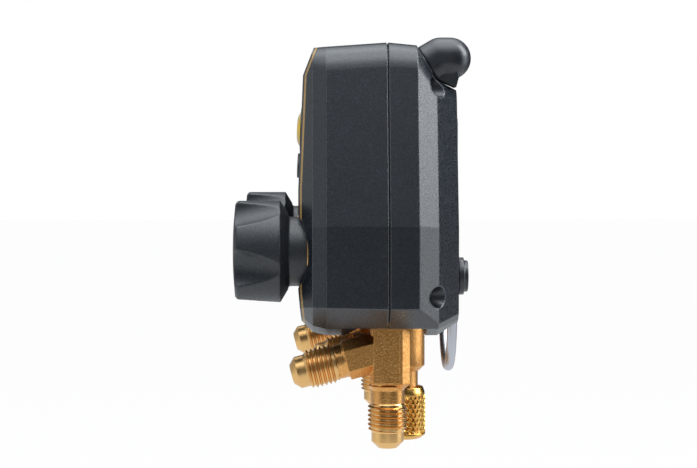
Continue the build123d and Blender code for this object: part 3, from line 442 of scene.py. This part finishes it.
def softProfile(points, radius, steps=3):
    # rounds each inner corner of a (radius, height) profile with a short arc
    result = [points[0]]
    for before, middle, after in zip(points, points[1:], points[2:]):
        here = Vector(middle)
        back = Vector(before) - here
        ahead = Vector(after) - here
        turn = back.angle(ahead, pi)
        longest = min(back.length, ahead.length) * corner["share"]
        reach = min(radius / tan(turn / 2), longest) if turn > corner["fold"] else 0
        if abs(turn - pi) < corner["straight"] or reach < corner["least"]:
            result.append(middle)
            continue
        start = here + back.normalized() * reach
        end = here + ahead.normalized() * reach
        for step in range(steps + 1):
            t = step / steps
            point = start * (1 - t) ** 2 + here * (2 * t * (1 - t)) + end * t ** 2
            result.append((point.x, point.y))
    return result + [points[-1]]


def frameAt(point, axis):
    # a place whose local Z runs along axis
    turn = Vector((0, 0, 1)).rotation_difference(Vector(axis)).to_matrix().to_4x4()
    return Matrix.Translation(Vector(point)) @ turn


# camera: a little above the middle, looking at the high side; focal length and frame in pixels
view = {"place": (584 * mm, -10.022 * mm, 31.168 * mm), "down": 2.843, "turn": 0.904,
        "focal": 1933, "frameWidth": 697, "sensor": 36, "near": 0.01}


def makeCamera():
    data = bpy.data.cameras.new("sideView")
    data.sensor_width = view["sensor"]
    data.lens = view["focal"] / view["frameWidth"] * view["sensor"]
    data.clip_start = view["near"]
    camera = bpy.data.objects.new("sideView", data)
    camera.location = view["place"]
    turn, down = radians(view["turn"]), radians(view["down"])
    ahead = Vector((-cos(turn) * cos(down), sin(turn) * cos(down), -sin(down)))
    camera.rotation_euler = ahead.to_track_quat("-Z", "Y").to_euler()
    bpy.context.scene.collection.objects.link(camera)
    bpy.context.scene.camera = camera


# light: lamps for the matt share, a painted surround for the reflections
lamps = {
    "rearLamp": {"turn": 82, "rise": 30, "far": 0.5, "size": (0.2, 0.3), "glow": 3.0},
    "frontLamp": {"turn": -75, "rise": 15, "far": 0.6, "size": (0.3, 0.5), "glow": 1.5},
    "topLamp": {"turn": 10, "rise": 62, "far": 0.42, "size": (0.3, 0.3), "glow": 3.0},
}
allRound = (-180, 180)
# each patch of the surround: its turn from the camera's side, its rise, the width of its edge and its
# light, which adds to that of the patches it overlaps
patches = [
    {"turn": (-14, 14), "rise": (-90, 90), "soft": 14, "glow": 0.26},
    {"turn": (-96, -54), "rise": (-90, 55), "soft": 12, "glow": 0.8},
    {"turn": (70, 106), "rise": (-90, 55), "soft": 5, "glow": 1.1},
    {"turn": (76, 105), "rise": (-12, 60), "soft": 4, "glow": 1.4},
    {"turn": (78, 105), "rise": (12, 60), "soft": 4, "glow": 6.6},
    {"turn": (112, 180), "rise": (-90, -8), "soft": 8, "glow": 0.2},
    {"turn": (-180, -98), "rise": (-90, 20), "soft": 8, "glow": 0.45},
    {"turn": allRound, "rise": (40, 90), "soft": 22, "glow": 1.6},
    {"turn": allRound, "rise": (60, 90), "soft": 16, "glow": 2.4},
]
room = {"cool": (0.92, 0.962, 1.0), "dim": 0.02, "matt": 0.36, "floorDrop": 60 * mm, "floorSize": 6.0,
        "floorHaze": 0.92, "floorGlow": 1.04, "paper": 0.85,
        # what the floor gives a mirrored ray, near the object
        "nearGlow": 0.95, "nearFrom": 0.2, "nearTo": 0.5}


def fromCentre(turn, rise, far):
    turn, rise = radians(turn), radians(rise)
    return Vector((cos(turn) * cos(rise), sin(turn) * cos(rise), sin(rise))) * far


def makeLamps():
    for name, lamp in lamps.items():
        data = bpy.data.lights.new(name, "AREA")
        data.shape = "RECTANGLE"
        data.size, data.size_y = lamp["size"]
        data.color = room["cool"]
        data.energy = lamp["glow"] * pi * lamp["size"][0] * lamp["size"][1]
        piece = bpy.data.objects.new(name, data)
        piece.location = fromCentre(lamp["turn"], lamp["rise"], lamp["far"])
        piece.rotation_euler = (-piece.location).to_track_quat("-Z", "Y").to_euler()
        piece.visible_glossy = False
        bpy.context.scene.collection.objects.link(piece)


def rayKind(graph, name):
    return Wire(graph, graph.tree.nodes.new("ShaderNodeLightPath").outputs[name])


def split(graph, vector):
    parts = graph.tree.nodes.new("ShaderNodeSeparateXYZ")
    graph.tree.links.new(vector.socket, parts.inputs[0])
    return [Wire(graph, socket) for socket in parts.outputs]


def ease(graph, value, low, high):
    return graph.add("ShaderNodeMapRange", {"interpolation_type": "SMOOTHSTEP"}, {
        "Value": value, "From Min": low, "From Max": high})


def window(graph, value, low, high, soft):
    # 1 between low and high, with soft edges
    rise = ease(graph, value, low - soft / 2, low + soft / 2)
    fall = ease(graph, value, high - soft / 2, high + soft / 2)
    return rise - rise * fall


def surround(graph, vector):
    across, along, up = split(graph, vector)
    turn = along.turnFrom(across) * degrees(1)
    rise = up.turnFrom((across * across + along * along).root()) * degrees(1)
    total = room["dim"]
    for patch in patches:
        there = window(graph, rise, *patch["rise"], patch["soft"])
        if patch["turn"] != allRound:
            there = there * window(graph, turn, *patch["turn"], patch["soft"])
        total = there * patch["glow"] + total
    return total


def makeStage(name, corners, faces, material):
    mesh = bpy.data.meshes.new(name)
    mesh.from_pydata(corners, [], faces)
    mesh.materials.append(material)
    piece = bpy.data.objects.new(name, mesh)
    bpy.context.scene.collection.objects.link(piece)


def litBy(graph, mirrored, matt):
    # seen: 1 for the rays that find plain white; strength: what a mirrored and any other ray find
    seen = (rayKind(graph, "Is Camera Ray") + rayKind(graph, "Is Transmission Ray")).least(1.0)
    glossy = rayKind(graph, "Is Glossy Ray")
    strength = glossy * (mirrored - matt) + matt
    return seen, strength


def makeWorld():
    world = bpy.data.worlds.new("paleRoom")
    world.use_nodes = True
    bpy.context.scene.world = world
    graph = Graph(world.node_tree)
    graph.tree.nodes.clear()
    direction = graph.add("ShaderNodeTexCoord", out="Generated")
    seen, strength = litBy(graph, surround(graph, direction), room["matt"])
    paper = graph.add("ShaderNodeBackground", None, {"Color": grey(1.0)})
    light = graph.add("ShaderNodeBackground", None, {"Color": tone(room["cool"]), "Strength": strength})
    shade = graph.add("ShaderNodeMixShader", None, {0: seen, 1: light, 2: paper})
    graph.add("ShaderNodeOutputWorld", None, {"Surface": shade})


def makeFloor():
    material = bpy.data.materials.new("paleFloor")
    material.use_nodes = True
    graph = Graph(material.node_tree)
    graph.tree.nodes.clear()
    drop = cadBounds[0][2] - room["floorDrop"]
    place = graph.add("ShaderNodeTexCoord", out="Object")
    across, along, _ = split(graph, place)
    away = (across * across + along * along).root()
    far = ease(graph, away, room["nearFrom"], room["nearTo"])
    mirrored = far * (surround(graph, place) - room["nearGlow"]) + room["nearGlow"]
    seen, strength = litBy(graph, mirrored, 0.0)
    paper = graph.add("ShaderNodeBsdfDiffuse", None, {"Color": grey(room["paper"])})
    white = graph.add("ShaderNodeEmission", None, {"Color": grey(1.0), "Strength": room["floorGlow"]})
    light = graph.add("ShaderNodeEmission", None, {"Color": tone(room["cool"]), "Strength": strength})
    seenFloor = graph.add("ShaderNodeMixShader", None, {0: room["floorHaze"], 1: paper, 2: white})
    other = graph.add("ShaderNodeMixShader", None, {0: rayKind(graph, "Is Glossy Ray"), 1: paper, 2: light})
    mixed = graph.add("ShaderNodeMixShader", None, {0: seen, 1: other, 2: seenFloor})
    # open from below, so that the ports can be looked at from there
    under = graph.add("ShaderNodeNewGeometry", out="Backfacing")
    clear = graph.add("ShaderNodeBsdfTransparent")
    floor = graph.add("ShaderNodeMixShader", None, {0: under, 1: mixed, 2: clear})
    graph.add("ShaderNodeOutputMaterial", None, {"Surface": floor})
    half = room["floorSize"] / 2
    corners = [(-half, -half, drop), (half, -half, drop), (half, half, drop), (-half, half, drop)]
    makeStage("floor", corners, [(0, 1, 2, 3)], material)


makeCamera()
makeLamps()
makeWorld()
makeFloor()
bpy.context.scene.view_settings.view_transform = "Standard"
print("camera, lamps and room made")


# screw threads, by geometry nodes, in mm; the ridge's foot is buried by a share of its height, and its
# ends fade out over a part of a turn while they sink in
thread = {"crest": 5.555, "root": 4.86, "pitch": 1.27, "ridge": 0.5, "land": 0.12, "turnSteps": 48,
          "buried": 0.15, "fade": 2.0, "sink": 1.2}


def newTree(name, lengths, counts):
    # a node tree that grows one piece, with a named input for each of its sizes
    tree = bpy.data.node_groups.new(name, "GeometryNodeTree")
    inputs = [("Geometry", "Geometry")] + [(size, "Float") for size in lengths]
    inputs += [(count, "Int") for count in counts] + [("Finish", "Material")]
    for size, kind in inputs:
        tree.interface.new_socket(size, in_out="INPUT", socket_type="NodeSocket" + kind)
    tree.interface.new_socket("Geometry", in_out="OUTPUT", socket_type="NodeSocketGeometry")
    graph = Graph(tree)
    entry = tree.nodes.new("NodeGroupInput")
    return tree, graph, {socket.name: Wire(graph, socket) for socket in entry.outputs if socket.name}


def dress(graph, body, finish):
    # ends a tree: real geometry in its material
    solid = graph.add("GeometryNodeRealizeInstances", None, {"Geometry": body})
    dressed = graph.add("GeometryNodeSetMaterial", None, {"Geometry": solid, "Material": finish})
    leave = graph.tree.nodes.new("NodeGroupOutput")
    graph.tree.links.new(dressed.socket, leave.inputs[0])


def threadTree():
    tree, graph, value = newTree(
        "screwThread", ("Length", "Pitch", "Root Radius", "Depth", "Half Foot", "Half Land"), ("Steps",))
    turns = value["Length"] / value["Pitch"]
    helix = graph.add("GeometryNodeCurveSpiral", None, {
        "Resolution": value["Steps"], "Rotations": turns, "Start Radius": value["Root Radius"],
        "End Radius": value["Root Radius"], "Height": value["Length"]})
    upright = graph.add("GeometryNodeSetCurveNormal", {"mode": "Z_UP"}, {"Curve": helix})
    factor = graph.add("GeometryNodeSplineParameter")
    fade = (factor * turns * thread["fade"]).least((1 - factor) * turns * thread["fade"]).least(1.0)
    ridge = value["Depth"] * fade
    corners = {}
    for number, (half, sign, rise) in enumerate((
        ("Half Foot", -1.0, -thread["buried"]), ("Half Land", -1.0, 1.0),
        ("Half Land", 1.0, 1.0), ("Half Foot", 1.0, -thread["buried"]),
    )):
        corners["Point " + str(number + 1)] = graph.add("ShaderNodeCombineXYZ", None, {
            "X": value["Depth"] * (-rise), "Y": value[half] * sign, "Z": 0.0})
    outline = graph.add("GeometryNodeCurvePrimitiveQuadrilateral", {"mode": "POINTS"}, corners)
    sunk = graph.add("GeometryNodeSetPosition", None, {
        "Geometry": upright, "Offset": inwards(graph, (value["Depth"] - ridge) * thread["sink"])})
    body = graph.add("GeometryNodeCurveToMesh", None, {
        "Curve": sunk, "Profile Curve": outline, "Fill Caps": True})
    dress(graph, body, value["Finish"])
    return tree


def inwards(graph, amount):
    # offset towards the Z axis
    position = graph.add("GeometryNodeInputPosition")
    flat = graph.add("ShaderNodeVectorMath", {"operation": "MULTIPLY"}, {0: position, 1: (-1.0, -1.0, 0.0)})
    unit = graph.add("ShaderNodeVectorMath", {"operation": "NORMALIZE"}, {0: flat})
    return graph.add("ShaderNodeVectorMath", {"operation": "SCALE"}, {0: unit, "Scale": amount})


def growPiece(name, tree, values, place):
    # runs a node tree on an empty mesh and keeps the result as a plain mesh at its place
    carrier = bpy.data.objects.new(name + "Carrier", bpy.data.meshes.new(name + "Carrier"))
    bpy.context.scene.collection.objects.link(carrier)
    modifier = carrier.modifiers.new("grow", "NODES")
    modifier.node_group = tree
    for item in tree.interface.items_tree:
        if item.in_out == "INPUT" and item.name in values:
            modifier[item.identifier] = values[item.name]
    graph = bpy.context.evaluated_depsgraph_get()
    graph.update()
    mesh = bpy.data.meshes.new_from_object(carrier.evaluated_get(graph))
    carrier.modifiers.clear()
    bpy.data.objects.remove(carrier)
    mesh.transform(place)
    shape = bmesh.new()
    shape.from_mesh(mesh)
    bmesh.ops.remove_doubles(shape, verts=shape.verts, dist=merge["fineGap"])
    bmesh.ops.recalc_face_normals(shape, faces=shape.faces)
    shape.to_mesh(mesh)
    shape.free()
    mesh.name = name
    return mesh


threadMaker = threadTree()


def threadMesh(name, length, place, finish):
    return growPiece(name, threadMaker, {
        "Length": length, "Pitch": thread["pitch"] * mm, "Root Radius": thread["root"] * mm,
        "Depth": (thread["crest"] - thread["root"]) * mm, "Half Foot": thread["ridge"] * mm,
        "Half Land": thread["land"] / 2 * mm, "Steps": thread["turnSteps"], "Finish": finish}, place)


def joined(name, meshes, finish, smooth=merge["smooth"]):
    shape = bmesh.new()
    for mesh in meshes:
        shape.from_mesh(mesh)
    return newPiece(name, shape, finish, smooth)


# flare ends: turned noses and threads on forged necks
flare = {"neckRadius": 4.72 * mm, "stubNeckRadius": 4.85 * mm, "rootRadius": 4.88 * mm,
         "noseRadius": 4.52 * mm, "faceRadius": 2.7 * mm, "boreRadius": 2.25 * mm, "boreDepth": 4 * mm,
         "relief": 0.35 * mm, "cone": 1.8 * mm, "round": 0.22 * mm, "sides": 96, "sunk": 0.6 * mm,
         "upright": 0.9}
flareEnds = [
    {"mount": "high_side_port", "neck": 4.8 * mm, "nose": 3.0 * mm},
    {"mount": "low_side_port", "neck": 4.8 * mm, "nose": 3.0 * mm},
    {"mount": "high_side_parking_stub", "neck": 3.0 * mm, "nose": 2.75 * mm},
    {"mount": "low_side_parking_stub", "neck": 3.0 * mm, "nose": 2.75 * mm},
    {"mount": "centre_parking_stub", "neck": 3.0 * mm, "nose": 2.75 * mm},
]
centrePort = {"threadLength": 7.5 * mm, "nose": 1.0 * mm}


def flareStart(end):
    # where the thread begins, and the way it points
    mount = mounts[end["mount"]]
    axis = Vector(mount["axis"])
    length = mount["dims"]["length_mm"] * mm
    return Vector(mount["pos_m"]) - axis * length / 2, axis, length


def centreStart():
    mount = mounts["centre_port"]
    axis = Vector(mount["axis"])
    reach = centrePort["threadLength"] + centrePort["nose"] + flare["cone"]
    return Vector(mount["pos_m"]) - axis * reach, axis, centrePort["threadLength"]


def noseShape(length, nose):
    cone = length + nose
    return softProfile([
        (0, -flare["sunk"]),
        (flare["rootRadius"] - flare["relief"], -flare["sunk"]),
        (flare["rootRadius"], 0),
        (flare["rootRadius"], length - flare["relief"]),
        (flare["noseRadius"] + flare["relief"] / 2, length),
        (flare["noseRadius"], length + flare["relief"]),
        (flare["noseRadius"], cone),
        (flare["faceRadius"], cone + flare["cone"]),
        (flare["boreRadius"], cone + flare["cone"]),
        (flare["boreRadius"], cone + flare["cone"] - flare["boreDepth"]),
        (0, cone + flare["cone"] - flare["boreDepth"]),
    ], flare["round"])


def neckShape(neck, radius):
    return softProfile([
        (0, -neck - flare["sunk"]),
        (radius + 2 * flare["relief"], -neck - flare["sunk"]),
        (radius + flare["relief"], -neck),
        (radius, -neck + 2 * flare["relief"]),
        (radius, -flare["relief"]),
        (radius - flare["relief"], 0),
        (0, 0),
    ], 2 * flare["round"], 4)


def makeFlares():
    upright, leaning, necks = [], [], []
    for end in flareEnds + [None]:
        start, axis, length = flareStart(end) if end else centreStart()
        nose = end["nose"] if end else centrePort["nose"]
        place = frameAt(start, axis)
        straight = abs(axis.z) > flare["upright"]
        finish = finishes["brass_machined" if straight else "stub_turned"]
        body = lathe("nose", noseShape(length, nose), flare["sides"], place, finish)
        screw = threadMesh("screw", length, place, finish)
        (upright if straight else leaning).extend([body.data, screw])
        bpy.data.objects.remove(body)
        if end:
            radius = flare["neckRadius"] if straight else flare["stubNeckRadius"]
            shape = neckShape(end["neck"], radius)
            neck = lathe("neck", shape, flare["sides"], place, finishes["neck_smooth"])
            necks.append(neck.data)
            bpy.data.objects.remove(neck)
    for name, meshes, finish in (
        ("flareEndsUpright", upright, "brass_machined"),
        ("flareEndsLeaning", leaning, "stub_turned"),
        ("flareNecks", necks, "neck_smooth"),
    ):
        standFor(joined(name, meshes, finishes[finish]), "manifold_block")


makeFlares()
print("flare ends made")


# forged body of the manifold, cut off where the flare ends cover it
forging = {"edge": 0.32 * mm, "segments": 3, "angle": radians(25), "reach": 6.6 * mm, "slack": 0.02 * mm}


def makeForging():
    shape = mergedShape("manifold_block")
    for end in flareEnds + [None]:
        start, axis, _ = flareStart(end) if end else centreStart()
        if end:
            start = start - axis * end["neck"]
        gone = []
        for vert in shape.verts:
            offset = vert.co - start
            along = offset.dot(axis)
            if along > forging["slack"] and (offset - axis * along).length < forging["reach"]:
                gone.append(vert)
        bmesh.ops.delete(shape, geom=gone, context="VERTS")
    flatten(shape)
    piece = newPiece("forgedManifold", shape, finishes["brass_cast"])
    roundEdges(piece, forging["edge"], forging["segments"], forging["angle"])
    standFor(piece, "manifold_block")


makeForging()
print("forging made")


# cap of the centre port: a turned shell with a diamond knurl
capLook = {"radius": 6.72 * mm, "core": 6.36 * mm, "rim": 1.1 * mm, "dish": 0.4 * mm, "knurlLow": 2.0 * mm,
           "knurlHigh": 12.9 * mm, "collar": 6.55 * mm, "coneLow": 14.0 * mm, "mouth": 6.0 * mm,
           "bore": 5.62 * mm, "roof": 1.4 * mm, "round": 0.2 * mm, "sides": 96, "smooth": radians(30)}
knurl = {"around": 26, "rows": 8, "rise": 0.46 * mm, "flat": 0.4, "buried": 0.1}


def knurlTree():
    tree, graph, value = newTree(
        "diamondKnurl", ("Radius", "Low", "High", "Rise", "Flat"), ("Around", "Rows"))
    index = graph.add("GeometryNodeInputIndex")
    row = (index / value["Around"]).floor()
    column = index - row * value["Around"]
    odd = row - (row / 2.0).floor() * 2.0
    turn = (column + odd * 0.5) * (2 * pi) / value["Around"]
    step = (value["High"] - value["Low"]) / value["Rows"]
    height = value["Low"] + (row + 0.5) * step
    place = graph.add("ShaderNodeCombineXYZ", None, {
        "X": value["Radius"] * turn.cosine(), "Y": value["Radius"] * turn.sine(), "Z": height})
    count = value["Around"] * value["Rows"]
    points = graph.add("GeometryNodePoints", None, {"Count": count, "Position": place})
    cone = graph.add("GeometryNodeMeshCone", {"fill_type": "NGON"}, {
        "Vertices": 4, "Radius Top": value["Flat"], "Radius Bottom": 1.0, "Depth": 1.0})
    lean = graph.add("FunctionNodeEulerToRotation", None, {
        0: graph.add("ShaderNodeCombineXYZ", None, {"X": 0.0, "Y": pi / 2, "Z": turn})})
    width = value["Radius"] * pi / value["Around"]
    scale = graph.add("ShaderNodeCombineXYZ", None, {"X": step, "Y": width, "Z": value["Rise"]})
    spread = graph.add("GeometryNodeInstanceOnPoints", None, {
        "Points": points, "Instance": cone, "Rotation": lean, "Scale": scale})
    dress(graph, spread, value["Finish"])
    return tree


def makePortCap():
    low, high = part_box("port_cap")
    place = Matrix.Translation(((low.x + high.x) / 2, (low.y + high.y) / 2, low.z))
    height = high.z - low.z
    shell = lathe("shell", softProfile([
        (0, capLook["dish"]),
        (capLook["core"] - capLook["rim"], 0),
        (capLook["radius"], capLook["rim"]),
        (capLook["radius"], capLook["knurlLow"] - capLook["round"]),
        (capLook["core"], capLook["knurlLow"]),
        (capLook["core"], capLook["knurlHigh"]),
        (capLook["collar"], capLook["knurlHigh"] + capLook["round"]),
        (capLook["collar"], capLook["coneLow"]),
        (capLook["mouth"], height),
        (capLook["bore"], height),
        (capLook["bore"], capLook["roof"]),
        (0, capLook["roof"]),
    ], capLook["round"]), capLook["sides"], place, finishes["cap_turned"])
    toothRoot = capLook["core"] - knurl["rise"] * knurl["buried"]
    teeth = growPiece("teeth", knurlTree(), {
        "Around": knurl["around"], "Rows": knurl["rows"], "Radius": toothRoot,
        "Low": capLook["knurlLow"], "High": capLook["knurlHigh"], "Rise": knurl["rise"],
        "Flat": knurl["flat"], "Finish": finishes["cap_turned"]}, place)
    piece = joined("knurledCap", [shell.data, teeth], finishes["cap_turned"], capLook["smooth"])
    bpy.data.objects.remove(shell)
    standFor(piece, "port_cap")


makePortCap()
print("port cap made")


# soft pieces: probe caps and feet
bulb = {"voxel": 0.26 * mm, "soften": 0.6, "passes": 8, "smooth": radians(80)}
foot = {"outer": 5.3 * mm, "step": 1.75 * mm, "tip": 4.45 * mm, "lipDepth": 0.3 * mm, "plug": 1.9 * mm,
        "plugDepth": 1.6 * mm, "dimple": 3.0 * mm, "dimpleDepth": 0.35 * mm, "round": 0.45 * mm,
        "sides": 72, "gap": 0.02 * mm}


def softened(node, voxel, factor, passes):
    # the node's form with its edges rounded off all over
    draft = newPiece("draft", mergedShape(node), finishes[nodeSlot[node]])
    remesh = draft.modifiers.new("remesh", "REMESH")
    remesh.mode = "VOXEL"
    remesh.voxel_size = voxel
    soften = draft.modifiers.new("soften", "SMOOTH")
    soften.factor = factor
    soften.iterations = passes
    graph = bpy.context.evaluated_depsgraph_get()
    graph.update()
    mesh = bpy.data.meshes.new_from_object(draft.evaluated_get(graph))
    bpy.data.objects.remove(draft)
    return mesh


def makeProbeCaps():
    for side in ("right", "left"):
        node = "probe_cap_" + side
        mesh = softened(node, bulb["voxel"], bulb["soften"], bulb["passes"])
        piece = settle("probeCap" + side.capitalize(), mesh, finishes["soft_rubber"], bulb["smooth"])
        standFor(piece, node)


def makeFeet():
    meshes = []
    low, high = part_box("rubber_feet")
    proud = high.y - low.y - foot["plugDepth"]
    for side in ("right", "left"):
        mount = mounts["foot_face_" + side]
        place = frameAt(Vector(mount["pos_m"]) - Vector(mount["axis"]) * proud, mount["axis"])
        body = lathe("foot", softProfile([
            (0, -foot["plugDepth"]),
            (foot["plug"], -foot["plugDepth"]),
            (foot["plug"], foot["gap"]),
            (foot["outer"] - foot["lipDepth"], foot["gap"]),
            (foot["outer"], foot["lipDepth"]),
            (foot["outer"], foot["step"]),
            (foot["tip"], foot["step"]),
            (foot["tip"], proud),
            (foot["dimple"], proud),
            (foot["dimple"] - foot["dimpleDepth"], proud - foot["dimpleDepth"]),
            (0, proud - foot["dimpleDepth"]),
        ], foot["round"], 4), foot["sides"], place, finishes["soft_rubber"])
        meshes.append(body.data)
        bpy.data.objects.remove(body)
    standFor(joined("rubberFeet", meshes, finishes["soft_rubber"]), "rubber_feet")


makeProbeCaps()
makeFeet()
print("soft pieces made")


knobMould = {"voxel": 0.26 * mm, "roughVoxel": 0.3 * mm, "soften": 0.5, "passes": 3, "smooth": radians(60)}


def makeKnobs():
    for side in ("high", "low"):
        node = side + "_side_knob"
        voxel = knobMould["voxel"]
        mesh = softened(node, voxel, knobMould["soften"], knobMould["passes"])
        standFor(settle(side + "SideGrip", mesh, finishes["knob_plastic"], knobMould["smooth"]), node)


makeKnobs()
print("knobs made")

# pieces that are shown as they were built
for node, piece in cadNodes.items():
    piece.data.materials.clear()
    piece.data.materials.append(finishes[nodeSlot[node]])
